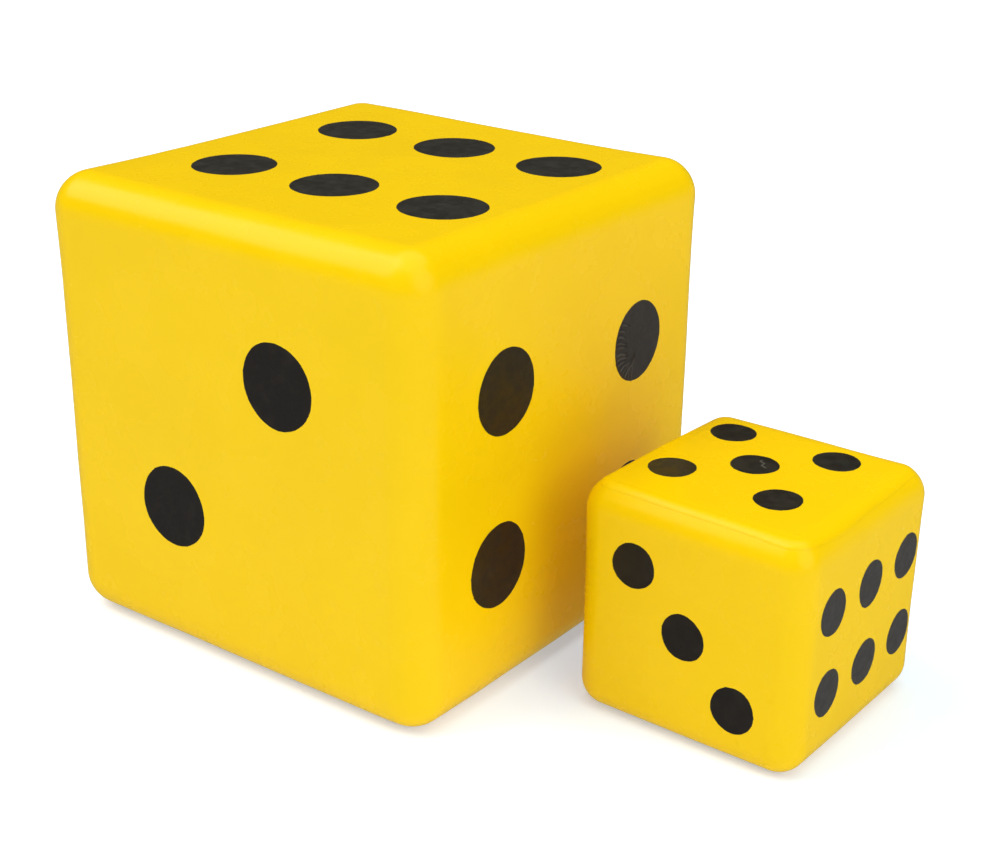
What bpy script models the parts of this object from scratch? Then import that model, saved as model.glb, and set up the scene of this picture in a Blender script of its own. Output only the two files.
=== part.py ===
"""Giant yard dice: a large and a small foam die, standing side by side on the ground.

Each die is a block of soft foam with rounded edges inside a tough, rubbery skin. The skin is put
on in two parts: a shell over five faces, and a cap over the sixth face that meets the shell at a
joint line in the rounded edge. The pips are thin patches of black ink. Each is a separate disc
here, let into a shallow seat in the skin so that its face is flush.

Units are metres and +Z is up. The origin is on the ground, under the middle of the pair.
The large die's faces are square to the axes, and the small die stands beside it on its +X side.
"""

import math

import bmesh
import bpy
from mathutils import Euler, Matrix, Vector

# ---- driving dimensions -----------------------------------------------------------------------

# Width along X, depth along Y and height along Z of each foam die. Foam blocks are cut by hand,
# so a nominal 16 inch and a nominal 8 inch die are both a few millimetres out of square.
LARGE_SIZE = (0.406, 0.404, 0.402)
SMALL_SIZE = (0.207, 0.213, 0.202)
LARGE_EDGE_RADIUS = 0.0325
SMALL_EDGE_RADIUS = 0.0245

# Where the small die stands: from the large die's centre to its own, and its turn about +Z.
SMALL_OFFSET = (0.3595, 0.0365)
SMALL_TURN = math.radians(-1.0)

SKIN = 0.0015             # thickness of the rubbery skin
CLEARANCE = 0.0003        # gap between pieces that touch on the real dice
EDGE_SEGMENTS = 6         # facets round a rounded edge

# The skin's joint line runs round the rounded edge of the capped face, at this angle of the
# rounding: 0 is where the rounding leaves the side faces, 90 degrees is where it meets the cap's face.
JOINT_ANGLE = math.radians(52)

INK = 0.0003              # thickness of an ink disc
SEAT_DEPTH = INK + CLEARANCE
PIP_SEGMENTS = 24
CREASE_ANGLE = math.radians(40)   # edges sharper than this stay crisp under smooth shading
LARGE_PIP_RADIUS = 0.03625
SMALL_PIP_RADIUS = 0.0195

# How each number is stencilled on its face of a die: the face, the half spacing of the outer pips
# across and up the face, how far the stencil sat off the middle of the face, and how many degrees
# it was turned, anticlockwise from across to up.
# Across and up are +X and +Y on top and underneath, +X and +Z on front and back, +Y and +Z on the
# two sides. Opposite faces add up to seven.
LARGE_NUMBERS = {
    "one": ("bottom", (0.000, 0.000), (0.004, -0.003), 0.0),
    "two": ("front", (0.063, 0.069), (-0.0005, 0.0045), 0.0),
    "three": ("left", (0.094, 0.093), (0.003, 0.004), 1.0),
    "four": ("right", (0.094, 0.074), (-0.002, -0.008), -3.0),
    "five": ("back", (0.095, 0.094), (-0.005, 0.003), -1.5),
    "six": ("top", (0.1105, 0.082), (0.012, 0.005), 1.7),
}
SMALL_NUMBERS = {
    "one": ("left", (0.000, 0.000), (0.002, 0.002), 0.0),
    "two": ("bottom", (0.032, 0.036), (0.001, -0.002), 1.5),
    "three": ("front", (0.048, -0.047), (0.0015, -0.003), 0.0),
    "four": ("back", (0.048, 0.038), (-0.002, 0.001), -2.0),
    "five": ("top", (0.0485, 0.0475), (-0.0105, 0.011), 0.0),
    "six": ("right", (0.061, 0.035), (0.0035, -0.001), 0.5),
}

# Each number's pips, as multiples of its half spacings.
LAYOUTS = {
    "one": [(0, 0)],
    "two": [(-1, -1), (1, 1)],
    "three": [(-1, -1), (0, 0), (1, 1)],
    "four": [(-1, -1), (1, -1), (-1, 1), (1, 1)],
    "five": [(-1, -1), (1, -1), (0, 0), (-1, 1), (1, 1)],
    "six": [(-1, -1), (0, -1), (1, -1), (-1, 1), (0, 1), (1, 1)],
}

# Each face's outward, across and up directions, as unit vectors in the die's own frame.
FACES = {
    "top": (Vector((0, 0, 1)), Vector((1, 0, 0)), Vector((0, 1, 0))),
    "bottom": (Vector((0, 0, -1)), Vector((1, 0, 0)), Vector((0, 1, 0))),
    "front": (Vector((0, -1, 0)), Vector((1, 0, 0)), Vector((0, 0, 1))),
    "back": (Vector((0, 1, 0)), Vector((1, 0, 0)), Vector((0, 0, 1))),
    "right": (Vector((1, 0, 0)), Vector((0, 1, 0)), Vector((0, 0, 1))),
    "left": (Vector((-1, 0, 0)), Vector((0, 1, 0)), Vector((0, 0, 1))),
}

# ---- scene helpers ----------------------------------------------------------------------------


def clear_scene():
    """Remove whatever the new file holds, so that only the dice are left."""
    for obj in list(bpy.data.objects):
        bpy.data.objects.remove(obj, do_unlink=True)


def new_collection(name):
    collection = bpy.data.collections.new(name)
    bpy.context.scene.collection.children.link(collection)
    return collection


def make_material(name, color, roughness):
    material = bpy.data.materials.new(name)
    material.use_nodes = True
    shader = material.node_tree.nodes["Principled BSDF"]
    shader.inputs["Base Color"].default_value = (*color, 1.0)
    shader.inputs["Roughness"].default_value = roughness
    shader.inputs["Metallic"].default_value = 0.0
    material.diffuse_color = (*color, 1.0)
    return material


def make_object(name, bm, collection, parent, material=None):
    """Turn a bmesh into a named object that hangs from its die's empty."""
    mesh = bpy.data.meshes.new(name)
    bm.to_mesh(mesh)
    bm.free()
    obj = bpy.data.objects.new(name, mesh)
    collection.objects.link(obj)
    obj.parent = parent
    if material:
        mesh.materials.append(material)
    return obj


def smooth_round_faces(obj):
    """Shade the rounded edges smooth and keep the rims crisp."""
    obj.data.shade_smooth()
    obj.data.set_sharp_from_angle(angle=CREASE_ANGLE)


# ---- shapes -----------------------------------------------------------------------------------


def rounded_block(size, radius):
    """A closed box of the given size, centred on the origin, with every edge rounded."""
    bm = bmesh.new()
    bmesh.ops.create_cube(bm, size=1.0)
    bmesh.ops.scale(bm, vec=size, verts=bm.verts)
    bmesh.ops.bevel(
        bm,
        geom=bm.edges[:],
        offset=radius,
        offset_type="OFFSET",
        segments=EDGE_SEGMENTS,
        profile=0.5,
        affect="EDGES",
        clamp_overlap=True,
    )
    return bm


def joint_height(size, radius, capped_face):
    """The joint line's height above the die's centre, and the cap's side of it as +1 or -1."""
    side = FACES[capped_face][0].z
    return side * (size[2] / 2 - radius * (1 - math.sin(JOINT_ANGLE))), side


def keep_side(bm, height, side):
    """Cut the open surface at a height and keep what lies on one side of it."""
    bmesh.ops.bisect_plane(
        bm,
        geom=bm.verts[:] + bm.edges[:] + bm.faces[:],
        plane_co=(0, 0, height),
        plane_no=(0, 0, side),
        clear_inner=True,
    )


def add_skin(name, size, radius, height, side, parts, parent, material):
    """One part of the skin: the die's surface on one side of the joint line, made solid inward."""
    bm = rounded_block(size, radius)
    keep_side(bm, height + side * CLEARANCE / 2, side)
    skin = make_object(name, bm, parts, parent, material)
    solidify = skin.modifiers.new("skin_thickness", "SOLIDIFY")
    solidify.thickness = SKIN
    solidify.offset = -1.0
    solidify.use_even_offset = True
    smooth_round_faces(skin)
    return skin


def face_matrix(size, face, position):
    """The pose of something that lies on a die's face: its +Z is outward from the face."""
    outward, across, up = FACES[face]
    half = Vector(size) / 2
    reach = abs(outward.dot(half))
    centre = outward * reach + across * position[0] + up * position[1]
    turn = outward.to_track_quat("Z", "Y")
    return Matrix.Translation(centre) @ turn.to_matrix().to_4x4()


def add_disc(bm, radius, low, high, matrix):
    """A flat round disc from low to high along the matrix's Z axis."""
    centre = matrix @ Matrix.Translation((0, 0, (low + high) / 2))
    bmesh.ops.create_cone(
        bm,
        cap_ends=True,
        segments=PIP_SEGMENTS,
        radius1=radius,
        radius2=radius,
        depth=high - low,
        matrix=centre,
    )


def pip_places(size, numbers):
    """Yield each pip's number, its count within the number, its face and its pose."""
    for number, (face, half_spacing, shift, degrees) in numbers.items():
        turn = Matrix.Rotation(math.radians(degrees), 2)
        for count, (across, up) in enumerate(LAYOUTS[number], start=1):
            place = turn @ Vector((across * half_spacing[0], up * half_spacing[1]))
            yield number, count, face, face_matrix(size, face, place + Vector(shift))


def cut_seats(skin, places, pip_radius, cutters, parent):
    """Cut the shallow seats that the ink discs lie in."""
    bm = bmesh.new()
    for _, _, _, matrix in places:
        add_disc(bm, pip_radius + CLEARANCE, -SEAT_DEPTH, SKIN, matrix)
    cutter = make_object(skin.name + "_seats", bm, cutters, parent)
    cutter.hide_render = True
    cutter.display_type = "WIRE"
    cut = skin.modifiers.new("pip_seats", "BOOLEAN")
    cut.operation = "DIFFERENCE"
    cut.solver = "EXACT"
    cut.object = cutter


# ---- one die ----------------------------------------------------------------------------------


def build_die(prefix, size, radius, numbers, pip_radius, capped_face, location, turn, groups, looks):
    """Build one die around its own empty, which stands at the middle of the die."""
    parts, cutters = groups
    frame = bpy.data.objects.new(prefix + "_die_frame", None)
    frame.location = (location[0], location[1], size[2] / 2)
    frame.rotation_euler = Euler((0, 0, turn))
    parts.objects.link(frame)

    inset = SKIN + CLEARANCE
    core_size = tuple(length - 2 * inset for length in size)
    core = make_object(
        prefix + "_foam_core", rounded_block(core_size, radius - inset), parts, frame, looks["foam"]
    )
    smooth_round_faces(core)

    height, side = joint_height(size, radius, capped_face)
    shell = add_skin(
        prefix + "_skin_shell", size, radius, height, -side, parts, frame, looks["skin"]
    )
    cap = add_skin(prefix + "_skin_cap", size, radius, height, side, parts, frame, looks["skin"])

    places = list(pip_places(size, numbers))
    on_cap = [place for place in places if place[2] == capped_face]
    on_shell = [place for place in places if place[2] != capped_face]
    cut_seats(shell, on_shell, pip_radius, cutters, frame)
    cut_seats(cap, on_cap, pip_radius, cutters, frame)

    for number, count, _, matrix in places:
        bm = bmesh.new()
        add_disc(bm, pip_radius, -INK, 0.0, Matrix.Identity(4))
        name = f"{prefix}_pip_{number}_{count}"
        pip = make_object(name, bm, parts, frame, looks["ink"])
        pip.matrix_local = matrix


def rounded_half_extent(size, radius, turn, axis):
    """Half the width along X (axis 0) or Y (axis 1) of a rounded block turned about +Z."""
    along = abs(math.cos(turn))
    aside = abs(math.sin(turn))
    return (size[axis] / 2 - radius) * along + (size[1 - axis] / 2 - radius) * aside + radius


def large_die_location():
    """Put the large die so that the pair's bounding box is centred on the origin."""
    left = -LARGE_SIZE[0] / 2
    right = SMALL_OFFSET[0] + rounded_half_extent(SMALL_SIZE, SMALL_EDGE_RADIUS, SMALL_TURN, 0)
    return -(left + right) / 2, 0.0


def main():
    clear_scene()
    groups = (new_collection("giant_yard_dice"), new_collection("cutters"))
    looks = {
        "skin": make_material("yellow_skin", (0.90, 0.58, 0.012), 0.38),
        "ink": make_material("black_ink", (0.022, 0.018, 0.014), 0.55),
        "foam": make_material("foam", (0.80, 0.77, 0.62), 0.95),
    }
    large_at = large_die_location()
    small_at = (large_at[0] + SMALL_OFFSET[0], large_at[1] + SMALL_OFFSET[1])
    build_die(
        "large", LARGE_SIZE, LARGE_EDGE_RADIUS, LARGE_NUMBERS, LARGE_PIP_RADIUS, "bottom",
        large_at, 0.0, groups, looks,
    )
    build_die(
        "small", SMALL_SIZE, SMALL_EDGE_RADIUS, SMALL_NUMBERS, SMALL_PIP_RADIUS, "top",
        small_at, SMALL_TURN, groups, looks,
    )
    bpy.context.view_layer.update()


main()
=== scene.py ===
"""The looks of a pair of giant yard dice: soft foam, a rubbery yellow skin and black printed pips.

Each die is drawn as one surface: a rounded block that is a little uneven, because the real one is
sawn and sanded by hand and then sprayed. The same surface, taken at different depths, gives the
skin, the foam under it and the ink on it, so that they always lie on one another.
Lengths are metres, positions are in the row frame, and +Z is up.
"""

import math
import random

import bmesh
import bpy
import numpy as np
from mathutils import Matrix, Vector, noise


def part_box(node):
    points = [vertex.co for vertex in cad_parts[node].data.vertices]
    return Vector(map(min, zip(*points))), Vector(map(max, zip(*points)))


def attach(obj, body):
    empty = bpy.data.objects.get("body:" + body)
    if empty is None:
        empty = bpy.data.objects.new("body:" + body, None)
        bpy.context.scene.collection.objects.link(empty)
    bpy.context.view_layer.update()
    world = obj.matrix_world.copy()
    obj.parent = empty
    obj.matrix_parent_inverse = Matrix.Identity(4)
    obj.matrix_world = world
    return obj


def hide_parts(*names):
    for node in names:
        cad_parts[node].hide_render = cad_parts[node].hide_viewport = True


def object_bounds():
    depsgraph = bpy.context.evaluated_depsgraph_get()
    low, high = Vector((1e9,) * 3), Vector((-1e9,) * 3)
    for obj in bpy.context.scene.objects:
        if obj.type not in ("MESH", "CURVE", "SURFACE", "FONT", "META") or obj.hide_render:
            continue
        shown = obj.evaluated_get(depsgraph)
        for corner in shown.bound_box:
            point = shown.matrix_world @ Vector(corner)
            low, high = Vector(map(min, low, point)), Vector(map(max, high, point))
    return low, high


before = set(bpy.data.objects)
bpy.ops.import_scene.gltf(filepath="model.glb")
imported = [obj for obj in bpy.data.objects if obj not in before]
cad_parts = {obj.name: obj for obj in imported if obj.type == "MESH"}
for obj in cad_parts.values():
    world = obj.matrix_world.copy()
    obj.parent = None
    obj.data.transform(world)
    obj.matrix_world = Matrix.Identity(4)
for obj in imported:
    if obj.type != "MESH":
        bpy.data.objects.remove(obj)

cad_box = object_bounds()

MM = 0.001

# ---- the dice ---------------------------------------------------------------------------------

SKIN = 1.5 * MM            # thickness of the rubbery skin
FOAM_GAP = 0.3 * MM        # between the skin and the foam
JOINT_GAP = 0.04 * MM      # between the two parts of the skin, at their joint line
INK = 0.14 * MM            # how far the printed ink stands above the skin


class Die:
    """One die's plain shape, in its own frame: centred on its middle, with its faces square."""

    def __init__(self, name, radius, turn, seed, edge_rows, face_cells, joint, swells):
        self.name = name
        self.body = name + "_die"
        self.radius = radius
        self.turn = np.array(Matrix.Rotation(math.radians(turn), 3, "Z"))
        self.seed = seed
        self.edge_rows = edge_rows
        self.face_cells = face_cells
        self.joint = joint
        self.swells = swells
        corners = np.array(
            [
                vertex.co
                for part in ("_skin_shell", "_skin_cap")
                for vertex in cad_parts[name + part].data.vertices
            ]
        )
        own = corners @ self.turn
        self.half = (own.max(0) - own.min(0)) / 2
        self.middle = self.turn @ ((own.max(0) + own.min(0)) / 2)
        self.inner = self.half - radius

    def to_row(self, points):
        return points @ self.turn.T + self.middle

    def to_own(self, point):
        return (np.array(point) - self.middle) @ self.turn

    def split(self, points):
        """Each point's nearest place on the block inside the roundings, and the way out from it."""
        core = np.clip(points, -self.inner, self.inner)
        out = points - core
        return core, out / np.linalg.norm(out, axis=1)[:, None]

    def joint_height(self):
        rise = self.radius * (1 - math.sin(math.radians(self.joint["angle"])))
        return self.joint["side"] * (self.half[2] - rise)


# The joint line between the skin's shell and its cap: which end of the die the cap is on, where it
# lies in the rounding (0 degrees at the side faces, 90 at the cap's face), how proud the cap's lip
# is, and its dips towards the middle of the die. A dip has a place on the outline, in half widths
# from the middle, a depth and a length. A fill is a stretch where the spray has filled the line: it
# has a place and a length.
# A swell is a place where the block was left a little full, or sanded a little low: where it is, in
# half widths from the die's middle, its height and its length.
LARGE = Die(
    "large", radius=32.5 * MM, turn=0.0, seed=11, edge_rows=14, face_cells=58,
    joint={
        "side": -1, "angle": 52.0, "lip": 0.25 * MM, "dips": [],
        "fills": [(1.0, -0.4, 150 * MM)],
    },
    swells=[
        ((-1, -1, 1), 1.5 * MM, 60 * MM), ((-1, -0.6, 0.5), 1.0 * MM, 130 * MM),
        ((-0.7, 1, 1), 1.3 * MM, 120 * MM), ((1, 1, 1), 1.8 * MM, 55 * MM),
        ((1, -1, -1), -1.4 * MM, 45 * MM), ((-1, -0.8, -0.8), 0.5 * MM, 80 * MM),
    ],
)
SMALL = Die(
    "small", radius=24.5 * MM, turn=-1.0, seed=47, edge_rows=14, face_cells=38,
    joint={
        "side": 1, "angle": 52.0, "lip": 1.0 * MM,
        "dips": [
            (0.72, -0.95, 0.7 * MM, 15 * MM), (0.95, -0.42, 3.8 * MM, 35 * MM),
            (0.95, 0.30, 2.0 * MM, 45 * MM), (-0.72, -0.95, -0.7 * MM, 70 * MM),
        ],
        "fills": [(0.95, -0.25, 52 * MM)],
    },
    swells=[
        ((1, 1, 1), 1.0 * MM, 38 * MM), ((-0.8, -0.8, 1), 0.5 * MM, 60 * MM),
        ((1, 1, -0.3), -0.8 * MM, 50 * MM), ((0, -1, -1), 0.4 * MM, 70 * MM),
        ((-1, 1, 1), -0.9 * MM, 60 * MM),
    ],
)


def perlin(points, size, seed):
    """Smooth noise from -1 to 1 at each point, whose lumps are about size across."""
    shifted = points / size + np.array([seed, seed * 1.7, seed * 0.6])
    return np.array([noise.noise(Vector(p)) for p in shifted])


# ---- the uneven surface -----------------------------------------------------------------------

FACE_WAVE = 0.5 * MM       # slow waves across a sawn face
FACE_RIPPLE = 0.06 * MM    # shallow dimples left by the sanding
EDGE_WAVER = 0.6 * MM      # a hand-sanded rounding is never quite even
JOINT_WANDER = 0.3 * MM    # the joint line was masked by eye

# The skin at its joint. Lengths are distances from the line over which each feature dies away.
LIP_LENGTH = 16 * MM       # the cap's thick lip
ROLL_LENGTH = 14 * MM      # the roll just behind the lip
ROLL_SHARE = 0.9           # the roll's height, as a share of the lip's
EDGE_LENGTH = 3.5 * MM     # the shell's fall from the lip, and the roll's rise behind it
GROOVE = 0.20 * MM         # depth of the line itself
GROOVE_LENGTH = 0.6 * MM
FOAM_RELIEF = 1.0 * MM     # how far the foam keeps back from the joint
FOAM_RELIEF_LENGTH = 9 * MM


def fading(distance, length):
    """1 at a distance of 0, falling smoothly to nearly 0 at about twice the length."""
    return np.exp(-((distance / length) ** 2))


def hump(die, points, x, y, length):
    """1 near a place on the die's outline, which is given in half widths, and 0 far from it."""
    return fading(np.linalg.norm(points[:, :2] - die.half[:2] * np.array([x, y]), axis=1), length)


def joint_wander(die, points):
    """How far the joint line lies from its mean height, towards the middle of the die."""
    wander = JOINT_WANDER * perlin(points, 60 * MM, die.seed + 5)
    for x, y, depth, length in die.joint["dips"]:
        wander += depth * hump(die, points, x, y, length)
    return wander


def from_joint(die, points, out):
    """Distance along the skin from the joint line, positive on the cap."""
    side = die.joint["side"]
    height = (points[:, 2] - die.joint_height()) * side + joint_wander(die, points)
    return height / np.sqrt(np.clip(1 - out[:, 2] ** 2, 0.02, 1))


def joint_relief(die, points, distance):
    """The skin is thick at the joint. The cap rolls down to it, and the shell falls away below it.

    The lip grows thinner towards the back of the die.
    """
    behind = np.clip(points[:, 1] / die.half[1], 0, 1)
    lip = die.joint["lip"] * (1 - 0.8 * behind)
    groove = GROOVE * (0.8 + 0.4 * perlin(points, 30 * MM, die.seed + 6))
    for x, y, length in die.joint["fills"]:
        groove = groove * (1 - 0.9 * hump(die, points, x, y, length))
    away = np.abs(distance)
    roll = ROLL_SHARE * lip * (1 - np.exp(-away / EDGE_LENGTH)) * fading(away, ROLL_LENGTH)
    cap = lip * fading(away, LIP_LENGTH) + roll
    shell = lip * np.exp(-away / EDGE_LENGTH)
    rim = -groove * np.exp(-away / GROOVE_LENGTH)
    return np.where(distance > 0, cap, shell) + rim


def unevenness(die, points, out):
    """How far the sanded surface stands off the plain block, in metres, negative inward."""
    on_edge = np.clip((1 - np.abs(out).max(1)) / (1 - math.sqrt(0.5)), 0, 1)
    wave = FACE_WAVE * perlin(points, 160 * MM, die.seed)
    ripple = FACE_RIPPLE * perlin(points, 26 * MM, die.seed + 1)
    waver = EDGE_WAVER * on_edge * perlin(points, 75 * MM, die.seed + 2)
    height = wave + ripple + waver
    for place, amount, length in die.swells:
        away = np.linalg.norm(points - die.half * np.array(place), axis=1)
        height += amount * fading(away, length)
    # The underside is pressed flat by the die's weight, so nothing stands out below it.
    underneath = np.clip(-out[:, 2], 0, 1) ** 2
    return height * (1 - underneath) + np.minimum(height, 0) * underneath


def surface(die, points, depth=0.0, with_joint=True):
    """Points near the plain block, moved on to the die's uneven surface, or to a depth under it."""
    core, out = die.split(points)
    plain = core + out * die.radius
    height = unevenness(die, plain, out)
    distance = from_joint(die, plain, out)
    if with_joint:
        height += joint_relief(die, plain, distance)
    else:
        height -= FOAM_RELIEF * fading(distance, FOAM_RELIEF_LENGTH)
    return core + out * (die.radius + height - depth)[:, None]


# ---- meshes -----------------------------------------------------------------------------------


def grid_lines(half, radius, edge_rows, face_cells):
    """Where grid lines cross one axis of the block: even on the face, even in angle on the edge."""
    inner = half - radius
    face = np.linspace(-inner, inner, face_cells + 1)
    edge = inner + radius * np.tan(np.linspace(0, math.pi / 4, edge_rows + 1)[1:])
    return np.concatenate([-edge[::-1], face, edge])


def block_grid(die):
    """The square-cornered block as vertices and outward quads, gridded for rounding."""
    lines = [grid_lines(h, die.radius, die.edge_rows, die.face_cells) for h in die.half]
    last = [len(line) - 1 for line in lines]
    ids, faces = {}, []

    def vertex(cell):
        return ids.setdefault(cell, len(ids))

    for axis in range(3):
        across, up = (axis + 1) % 3, (axis + 2) % 3
        for end in (0, last[axis]):
            for i in range(last[across]):
                for j in range(last[up]):
                    quad = []
                    for di, dj in ((0, 0), (1, 0), (1, 1), (0, 1)):
                        cell = [0, 0, 0]
                        cell[axis], cell[across], cell[up] = end, i + di, j + dj
                        quad.append(vertex(tuple(cell)))
                    faces.append(quad if end else quad[::-1])
    vertices = np.array([[lines[k][cell[k]] for k in range(3)] for cell in ids])
    return vertices, faces


def mesh_object(name, vertices, faces):
    mesh = bpy.data.meshes.new(name)
    mesh.from_pydata([tuple(v) for v in vertices], [], faces)
    mesh.update()
    obj = bpy.data.objects.new(name, mesh)
    bpy.context.scene.collection.objects.link(obj)
    return obj


def coordinates(mesh):
    flat = np.zeros(len(mesh.vertices) * 3)
    mesh.vertices.foreach_get("co", flat)
    return flat.reshape(-1, 3)


def set_coordinates(mesh, points):
    mesh.vertices.foreach_set("co", points.astype(np.float32).ravel())
    mesh.update()


def apply_modifiers(obj):
    evaluated = obj.evaluated_get(bpy.context.evaluated_depsgraph_get())
    finished = bpy.data.meshes.new_from_object(evaluated)
    obj.modifiers.clear()
    obj.data = finished


CREASE = math.radians(50)  # rims sharper than this stay crisp


def thicken(obj, thickness):
    """Give an open surface its thickness, inward, and keep its rims crisp."""
    solidify = obj.modifiers.new("thickness", "SOLIDIFY")
    solidify.thickness = thickness
    solidify.offset = -1.0
    apply_modifiers(obj)
    obj.data.shade_smooth()
    obj.data.set_sharp_from_angle(angle=CREASE)


def finish_piece(obj, die, material, slot, *nodes):
    obj.data.materials.clear()
    obj.data.materials.append(material)
    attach(obj, die.body)
    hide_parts(*nodes)


# ---- skin and foam ----------------------------------------------------------------------------

# Extra loops on each side of the joint line, so that its lip and rounded rims have a shape.
JOINT_LOOPS = [0.35 * MM, 0.6 * MM, 1.0 * MM, 1.6 * MM, 2.4 * MM, 3.4 * MM, 4.8 * MM, 6.5 * MM]


def cut_at_joint(die, obj, side):
    """Cut the block's mesh along the joint line, and keep the part on one side of it."""
    mesh = obj.data
    points = coordinates(mesh)
    core, out = die.split(points)
    rounded = core + out * die.radius
    lean = joint_wander(die, rounded) * die.joint["side"]
    rounded[:, 2] += lean
    set_coordinates(mesh, rounded)
    bm = bmesh.new()
    bm.from_mesh(mesh)
    height = die.joint_height()
    for distance in [*reversed(JOINT_LOOPS), JOINT_GAP / 2]:
        last = distance == JOINT_GAP / 2
        bmesh.ops.bisect_plane(
            bm,
            geom=bm.verts[:] + bm.edges[:] + bm.faces[:],
            plane_co=(0, 0, height + side * distance),
            plane_no=(0, 0, side),
            clear_inner=last,
            dist=1e-6,
        )
    bm.to_mesh(mesh)
    bm.free()
    cut = coordinates(mesh)
    cut[:, 2] -= joint_wander(die, cut) * die.joint["side"]
    set_coordinates(mesh, cut)


def build_skin(die, part, side, material):
    name = f"{die.name}_{part}_surface"
    obj = mesh_object(name, *block_grid(die))
    cut_at_joint(die, obj, side)
    set_coordinates(obj.data, die.to_row(surface(die, coordinates(obj.data))))
    thicken(obj, SKIN)
    finish_piece(obj, die, material, "yellow_skin", f"{die.name}_{part}")


def build_foam(die, material):
    vertices, faces = block_grid(die)
    points = surface(die, vertices, depth=SKIN + FOAM_GAP, with_joint=False)
    obj = mesh_object(f"{die.name}_foam_block", die.to_row(points), faces)
    obj.data.shade_smooth()
    finish_piece(obj, die, material, "foam", f"{die.name}_foam_core")


# ---- printed pips -----------------------------------------------------------------------------

RIM_POINTS = 180
RINGS = 12                 # rings of vertices in a plain print
FINE_RINGS = 40            # and in one whose flaw needs them

SCRATCH_AND_SHEEN = "scratch_and_sheen"            # the mesh attribute that says how far the ink is lifted towards grey, by the scratch and by painted reflection, highlight and shade: 0 for plain ink
# How far whole prints are lifted towards grey. On the small die's six and the large die's shrivelled
# four this is a painted reflection of the bright floor; on the large die's six it is faint wear
# together with a painted reflection of the backdrop.
WEAR_AND_SHEEN_PRINTS = {"large_pip_six": 0.05, "large_pip_four_4": 0.20, "small_pip_six": 0.30}
# Prints that came out differently from the rest: one has shrivelled, and one is scratched.
PRINT_FLAWS = {"large_pip_four_4": "shrivelled", "small_pip_five_3": "squiggle"}

FOLDS = 13                 # in the shrivelled print
SHRINKAGE = 0.97           # of its radius
FOLD_START = 0.97          # where the folds begin, as a share of the radius
SCRATCH_HEIGHT = 0.25 * MM
SCRATCH_SLOPE = math.radians(37)      # from straight up the face
SCRATCH_OFFSET = 6.6 * MM             # from the middle of the print
SCRATCH_HALF_LENGTH = 9.5 * MM
SCRATCH_WIDTH = 0.75 * MM


def face_of(die, place):
    """The die's face that a point lies on: its axis and end, and the axes across and up it."""
    axis = int(np.argmax(np.abs(place) / die.half))
    across, up = [k for k in range(3) if k != axis]
    return axis, math.copysign(1, place[axis]), across, up


def on_face(die, face, a, b):
    """Points at a across and b up a face, wrapped round the die's edges where they pass them."""
    axis, end, across, up = face
    points = np.zeros((len(a), 3))
    over = []
    for k, value in ((across, a), (up, b)):
        past = np.clip(np.abs(value) - die.inner[k], 0, None) * np.sign(value)
        points[:, k] = value - past
        over.append(np.tan(np.clip(past / die.radius, -0.7, 0.7)) * die.radius)
    points[:, axis] = end * die.half[axis]
    points[:, across] += over[0]
    points[:, up] += over[1]
    return points


def ragged_rim(rng, radius, angles):
    """The print's rim: nearly round, with ink that crept a little under the stencil here and there."""
    phase = rng.uniform(0, 100)
    rim = np.full(len(angles), radius)
    for harmonic, size in ((2, 0.35), (3, 0.22), (5, 0.12), (17, 0.06), (41, 0.05)):
        rim += size * MM * np.sin(harmonic * angles + phase * harmonic)
    for _ in range(rng.randint(3, 7)):
        where, width = rng.uniform(0, 2 * math.pi), rng.uniform(0.012, 0.03)
        apart = np.abs((angles - where + math.pi) % (2 * math.pi) - math.pi)
        rim += rng.uniform(0.25, 0.7) * MM * np.exp(-((apart / width) ** 2))
    return rim


def disc_grid(rings):
    """Ring share and angle of each vertex of a disc, centre first, and its faces."""
    angles = np.linspace(0, 2 * math.pi, RIM_POINTS, endpoint=False)
    shares = np.linspace(0, 1, rings + 1)[1:]
    faces = [(0, 1 + k, 1 + (k + 1) % RIM_POINTS) for k in range(RIM_POINTS)]
    for ring in range(rings - 1):
        start = 1 + ring * RIM_POINTS
        for k in range(RIM_POINTS):
            after = (k + 1) % RIM_POINTS
            faces.append(
                (start + k, start + RIM_POINTS + k, start + RIM_POINTS + after, start + after)
            )
    share = np.concatenate([[0], np.repeat(shares, RIM_POINTS)])
    angle = np.concatenate([[0], np.tile(angles, rings)])
    return share, angle, angles, faces


def across_fold(a, b, start, end, width):
    """1 along the line from start to end, falling off over width and towards the line's end."""
    way = np.array(end) - np.array(start)
    length = np.hypot(*way)
    way = way / length
    along = ((a - start[0]) * way[0] + (b - start[1]) * way[1]) / length
    aside = (a - start[0]) * way[1] - (b - start[1]) * way[0]
    aside += 0.05 * length * np.sin(6 * along)
    fade = np.clip((along + 0.1) / 0.15, 0, 1) * np.clip((1 - along) / 0.5, 0, 1) ** 0.7
    return fading(aside, width) * fade


def shrivelled(rng, share, angle, radius):
    """Folds that run in from one side of a print, where its film has shrivelled."""
    a, b = share * radius * np.cos(angle), share * radius * np.sin(angle)
    height = np.zeros(len(share))
    for k in range(FOLDS):
        # From the first fold to the last the start goes down the rim, and the lean goes from a
        # little below level, through level, to nearly straight up.
        down = k / (FOLDS - 1)
        rim = math.radians(143 + 112 * down + rng.uniform(-2, 2))
        lean = math.radians(-16 + 20 * down + 82 * down**3 + rng.uniform(-4, 4))
        length = radius * (0.38 + 0.24 * down) * rng.uniform(0.8, 1.2)
        start = (FOLD_START * radius * math.cos(rim), FOLD_START * radius * math.sin(rim))
        end = (start[0] + length * math.cos(lean), start[1] + length * math.sin(lean))
        size = rng.uniform(0.7, 1.1) * MM
        width = rng.uniform(0.9, 1.3) * MM
        height = np.maximum(height, size * across_fold(a, b, start, end, width))
    return height * np.clip((1 - share) / 0.04, 0, 1)


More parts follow.
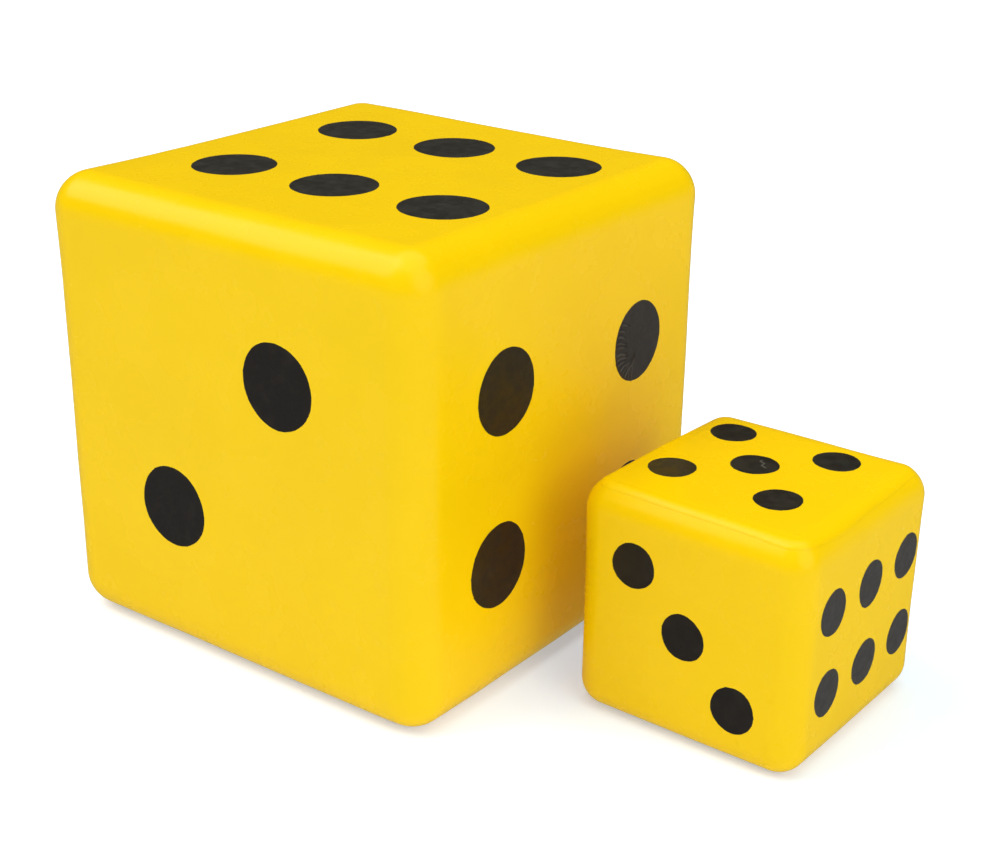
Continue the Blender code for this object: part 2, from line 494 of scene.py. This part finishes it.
def squiggle(a, b):
    """One wavering scratch, a little off the middle of a print: 1 on it and 0 beside it."""
    along = b * math.cos(SCRATCH_SLOPE) - a * math.sin(SCRATCH_SLOPE)
    aside = a * math.cos(SCRATCH_SLOPE) + b * math.sin(SCRATCH_SLOPE) - SCRATCH_OFFSET
    aside -= 1.1 * MM * np.sin(0.75 * along / MM)
    from_end = SCRATCH_HALF_LENGTH - np.abs(along - 1 * MM)
    return fading(aside, SCRATCH_WIDTH) * np.clip(from_end / (3 * MM), 0, 1)


def painted_fold_light(folds):
    """The folds' crests are painted pale and their flanks dark: a painted highlight on the crests and
    painted shade on the flanks.
    """
    crest = np.clip(folds / MM - 0.40, 0, 1)
    flank = fading(folds / MM - 0.22, 0.14)
    return 0.75 * crest - 0.24 * flank


def flaws(node, rng, share, angle, radius, a, b):
    """How far a print's flaw stands above the film, and how pale the ink is, at each vertex."""
    # pale is a whole print's lift towards grey: painted reflection, and on the large six also faint
    # wear.
    pale = max([WEAR_AND_SHEEN_PRINTS[name] for name in WEAR_AND_SHEEN_PRINTS if node.startswith(name)], default=0.0)
    flaw = PRINT_FLAWS.get(node)
    if flaw == "shrivelled":
        folds = shrivelled(rng, share, angle, radius)
        # The folds get painted highlight on their crests and painted shade on their flanks, on top of
        # the print's painted reflection.
        return folds, np.clip(pale + painted_fold_light(folds), 0, 1)
    if flaw == "squiggle":
        scratch = squiggle(a, b)
        return SCRATCH_HEIGHT * scratch, pale + 0.8 * scratch
    return np.zeros(len(a)), np.full(len(a), pale)


def build_pip(die, node, material):
    low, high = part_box(node)
    place = die.to_own((low + high) / 2)
    face = face_of(die, place)
    axis, end, across, up = face
    radius = max(high - low) / 2
    rng = random.Random(node)
    if PRINT_FLAWS.get(node) == "shrivelled":
        radius *= SHRINKAGE
    share, angle, angles, faces = disc_grid(FINE_RINGS if node in PRINT_FLAWS else RINGS)
    rim = ragged_rim(rng, radius, angles)
    reach = share * np.interp(angle, angles, rim)
    a, b = reach * np.cos(angle), reach * np.sin(angle)
    if (axis == 1) != (end < 0):
        faces = [f[::-1] for f in faces]
    # The film thins out at its rim.
    film = INK * (1 - 0.6 * share**16)
    relief, paleness = flaws(node, rng, share, angle, radius, a, b)
    flat = on_face(die, face, place[across] + a, place[up] + b)
    points = surface(die, flat, -(film + relief))
    obj = mesh_object(node.replace("pip", "print"), die.to_row(points), faces)
    # This attribute lifts the ink towards grey: painted reflection on some prints, painted highlight
    # and shade on the folds, and the real scratch.
    obj.data.attributes.new(SCRATCH_AND_SHEEN, "FLOAT", "POINT").data.foreach_set("value", paleness)
    thicken(obj, 0.8 * INK)
    finish_piece(obj, die, material, "black_ink", node)


# ---- materials --------------------------------------------------------------------------------


class Look:
    """A Principled material, and short ways to wire noise into it."""

    def __init__(self, name):
        self.material = bpy.data.materials.new(name)
        self.material.use_nodes = True
        self.tree = self.material.node_tree
        self.shader = self.tree.nodes["Principled BSDF"]
        self.place = self.tree.nodes.new("ShaderNodeTexCoord").outputs["Object"]

    def link(self, output, socket):
        self.tree.links.new(output, socket)

    def set(self, **values):
        for name, value in values.items():
            self.shader.inputs[name.replace("_", " ")].default_value = value

    def noise(self, size, detail=2.0, roughness=0.5):
        node = self.tree.nodes.new("ShaderNodeTexNoise")
        node.inputs["Scale"].default_value = 1 / size
        node.inputs["Detail"].default_value = detail
        node.inputs["Roughness"].default_value = roughness
        self.link(self.place, node.inputs["Vector"])
        return node.outputs["Fac"]

    def cells(self, size):
        node = self.tree.nodes.new("ShaderNodeTexVoronoi")
        node.inputs["Scale"].default_value = 1 / size
        self.link(self.place, node.inputs["Vector"])
        return node.outputs["Distance"]

    def attribute(self, name):
        node = self.tree.nodes.new("ShaderNodeAttribute")
        node.attribute_name = name
        return node.outputs["Fac"]

    def ramp(self, value, low, high, to_low=0.0, to_high=1.0):
        node = self.tree.nodes.new("ShaderNodeMapRange")
        node.interpolation_type = "SMOOTHSTEP"
        for name, number in (
            ("From Min", low), ("From Max", high), ("To Min", to_low), ("To Max", to_high),
        ):
            node.inputs[name].default_value = number
        self.link(value, node.inputs["Value"])
        return node.outputs["Result"]

    def mix(self, factor, first, second):
        node = self.tree.nodes.new("ShaderNodeMix")
        node.data_type = "RGBA"
        self.link(factor, node.inputs[0])
        for socket, value in ((node.inputs[6], first), (node.inputs[7], second)):
            if isinstance(value, tuple):
                socket.default_value = (*value, 1)
            else:
                self.link(value, socket)
        return node.outputs[2]

    def math(self, operation, first, second):
        node = self.tree.nodes.new("ShaderNodeMath")
        node.operation = operation
        for socket, value in zip(node.inputs, (first, second)):
            if isinstance(value, (int, float)):
                socket.default_value = value
            else:
                self.link(value, socket)
        return node.outputs[0]

    def bump(self, height, distance):
        node = self.tree.nodes.new("ShaderNodeBump")
        node.inputs["Distance"].default_value = distance
        self.link(height, node.inputs["Height"])
        self.link(node.outputs["Normal"], self.shader.inputs["Normal"])


def skin_look():
    """Sprayed elastomer: satin, with a fine orange peel, faint clouds of colour and few specks."""
    look = Look("sprayed_skin")
    clouds = look.ramp(look.noise(90 * MM, 3), 0.35, 0.65)
    color = look.mix(clouds, (0.952, 0.580, 0.0008), (0.970, 0.593, 0.0008))
    mottle = look.ramp(look.noise(7 * MM, 3), 0.55, 0.75, 0.0, 0.08)
    color = look.mix(mottle, color, (0.930, 0.550, 0.0020))
    speck = look.ramp(look.cells(110 * MM), 0.004, 0.010, 0.3, 0.0)
    color = look.mix(speck, color, (0.52, 0.30, 0.010))
    look.link(color, look.shader.inputs["Base Color"])
    satin = look.ramp(look.noise(45 * MM, 4), 0.3, 0.7, 0.25, 0.29)
    look.link(satin, look.shader.inputs["Roughness"])
    peel = look.noise(3.2 * MM, 2)
    grit = look.noise(0.9 * MM, 1)
    relief = look.math("ADD", look.math("MULTIPLY", peel, 0.8), look.math("MULTIPLY", grit, 0.2))
    look.bump(relief, 0.05 * MM)
    look.set(Specular_IOR_Level=0.19, Specular_Tint=(1.0, 0.98, 0.80, 1.0))
    return look.material


def ink_look():
    """Screen ink: nearly black, a little warm, cloudy where it went on thin, dusty, with a scratch,
    and lifted towards grey by painted reflection and painted fold highlights and shade.
    """
    look = Look("screen_ink")
    thin = look.ramp(look.noise(16 * MM, 4, 0.6), 0.48, 0.72, 0.0, 0.5)
    color = look.mix(thin, (0.0095, 0.0060, 0.0036), (0.022, 0.0145, 0.009))
    dust = look.ramp(look.noise(1.1 * MM, 1), 0.70, 0.80, 0.0, 0.6)
    color = look.mix(dust, color, (0.075, 0.066, 0.055))
    # Mixed towards grey by the attribute: the scratch, plus painted reflection, painted highlight and
    # painted shade on some prints.
    color = look.mix(look.attribute(SCRATCH_AND_SHEEN), color, (0.12, 0.11, 0.10))
    look.link(color, look.shader.inputs["Base Color"])
    satin = look.ramp(look.noise(11 * MM, 5, 0.65), 0.3, 0.7, 0.36, 0.56)
    look.link(satin, look.shader.inputs["Roughness"])
    look.bump(look.noise(1.6 * MM, 3), 0.05 * MM)
    look.set(Specular_IOR_Level=0.55, Specular_Tint=(1.0, 0.96, 0.92, 1.0))
    return look.material


def foam_look():
    """Cut open-cell foam: pale, matte and full of small pores."""
    look = Look("open_cell_foam")
    pores = look.ramp(look.cells(2.2 * MM), 0.1, 0.55)
    # The pores are coloured darker than the foam's strands: painted shade in the pores.
    color = look.mix(pores, (0.46, 0.42, 0.30), (0.80, 0.77, 0.62))
    look.link(color, look.shader.inputs["Base Color"])
    look.link(look.ramp(look.noise(20 * MM), 0.3, 0.7, 0.9, 1.0), look.shader.inputs["Roughness"])
    look.bump(pores, 0.8 * MM)
    look.set(Specular_IOR_Level=0.1)
    return look.material


def floor_look():
    """A plain white floor, with only a trace of unevenness."""
    look = Look("pale_floor")
    tone = look.ramp(look.noise(1.5, 2), 0.3, 0.7)
    color = look.mix(tone, (0.905, 0.890, 0.920), (0.920, 0.905, 0.935))
    look.link(color, look.shader.inputs["Base Color"])
    look.set(Roughness=0.9, Specular_IOR_Level=0.1)
    look.set(Emission_Color=(0.40, 0.60, 0.95, 1.0), Emission_Strength=0.44)
    return look.material


# ---- floor, light and camera ------------------------------------------------------------------


def build_floor():
    bm = bmesh.new()
    bmesh.ops.create_circle(bm, cap_ends=True, segments=96, radius=60.0)
    mesh = bpy.data.meshes.new("floor")
    bm.to_mesh(mesh)
    bm.free()
    floor = bpy.data.objects.new("floor", mesh)
    floor.location.z = min(cad_box[0].z, 0.0) - INK
    floor.visible_glossy = False
    mesh.materials.append(floor_look())
    bpy.context.scene.collection.objects.link(floor)


def soft_sun(name, towards, strength, spread, color=(0.97, 1.0, 1.0)):
    """A very large, distant soft light: towards is the way from the dice to it."""
    data = bpy.data.lights.new(name, "SUN")
    data.color = color
    data.energy = strength
    data.angle = math.radians(spread)
    light = bpy.data.objects.new(name, data)
    light.rotation_mode = "QUATERNION"
    light.rotation_quaternion = Vector(towards).to_track_quat("Z", "Y")
    bpy.context.scene.collection.objects.link(light)


# The surroundings' brightness: below the horizon they stand in for the floor's reflection.
WORLD_BELOW, WORLD_ABOVE = 0.22, 0.045


def build_light():
    """Four broad soft lights in dim surroundings."""
    world = bpy.data.worlds.new("studio")
    world.use_nodes = True
    tree = world.node_tree
    background = tree.nodes["Background"]
    way = tree.nodes.new("ShaderNodeSeparateXYZ")
    tree.links.new(tree.nodes.new("ShaderNodeTexCoord").outputs["Generated"], way.inputs[0])
    dim = tree.nodes.new("ShaderNodeMapRange")
    for name, number in (
        ("From Min", -0.2), ("From Max", 0.1), ("To Min", WORLD_BELOW), ("To Max", WORLD_ABOVE),
    ):
        dim.inputs[name].default_value = number
    tree.links.new(way.outputs["Z"], dim.inputs["Value"])
    tree.links.new(dim.outputs["Result"], background.inputs["Strength"])
    background.inputs["Color"].default_value = (1.0, 1.0, 1.0, 1.0)
    bpy.context.scene.world = world
    soft_sun("key", (-0.55, -0.36, 0.754), 1.47, 48)
    soft_sun("overhead", (0, 0, 1), 1.90, 70, (0.94, 1.06, 0.90))
    soft_sun("side", (0.85, -0.15, 0.5), 1.24, 56)
    soft_sun("fill", (0.0, -0.87, 0.5), 0.12, 60)
    bpy.context.scene.view_settings.view_transform = "Standard"


# The camera stands in front and to the right, and looks a little down. Its place is counted in
# widths of the large die from the middle of that die's underside.
CAMERA_PLACE = (2.378, -2.771, 1.897)
CAMERA_HEADING = 36.65     # degrees, anticlockwise from +Y
CAMERA_PITCH = -22.57
CAMERA_ROLL = 0.72
CAMERA_LENS = 63.75        # millimetres, on a 36 mm sensor


def build_camera():
    data = bpy.data.cameras.new("camera")
    data.sensor_width = 36.0
    data.lens = CAMERA_LENS
    camera = bpy.data.objects.new("camera", data)
    foot = Vector(LARGE.middle) - Vector((0, 0, LARGE.half[2]))
    camera.location = foot + Vector(CAMERA_PLACE) * float(2 * LARGE.half[0])
    aim = Matrix.Rotation(math.radians(CAMERA_HEADING), 3, "Z")
    aim = aim @ Matrix.Rotation(math.radians(90 + CAMERA_PITCH), 3, "X")
    aim = aim @ Matrix.Rotation(math.radians(CAMERA_ROLL), 3, "Z")
    camera.rotation_mode = "QUATERNION"
    camera.rotation_quaternion = aim.to_quaternion()
    bpy.context.scene.collection.objects.link(camera)
    bpy.context.scene.camera = camera


# ---- the whole scene --------------------------------------------------------------------------


def main():
    skin, ink, foam = skin_look(), ink_look(), foam_look()
    for die in (LARGE, SMALL):
        side = die.joint["side"]
        build_foam(die, foam)
        build_skin(die, "skin_shell", -side, skin)
        build_skin(die, "skin_cap", side, skin)
        for node in sorted(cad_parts):
            if node.startswith(die.name + "_pip"):
                build_pip(die, node, ink)
    build_floor()
    build_light()
    build_camera()


main()
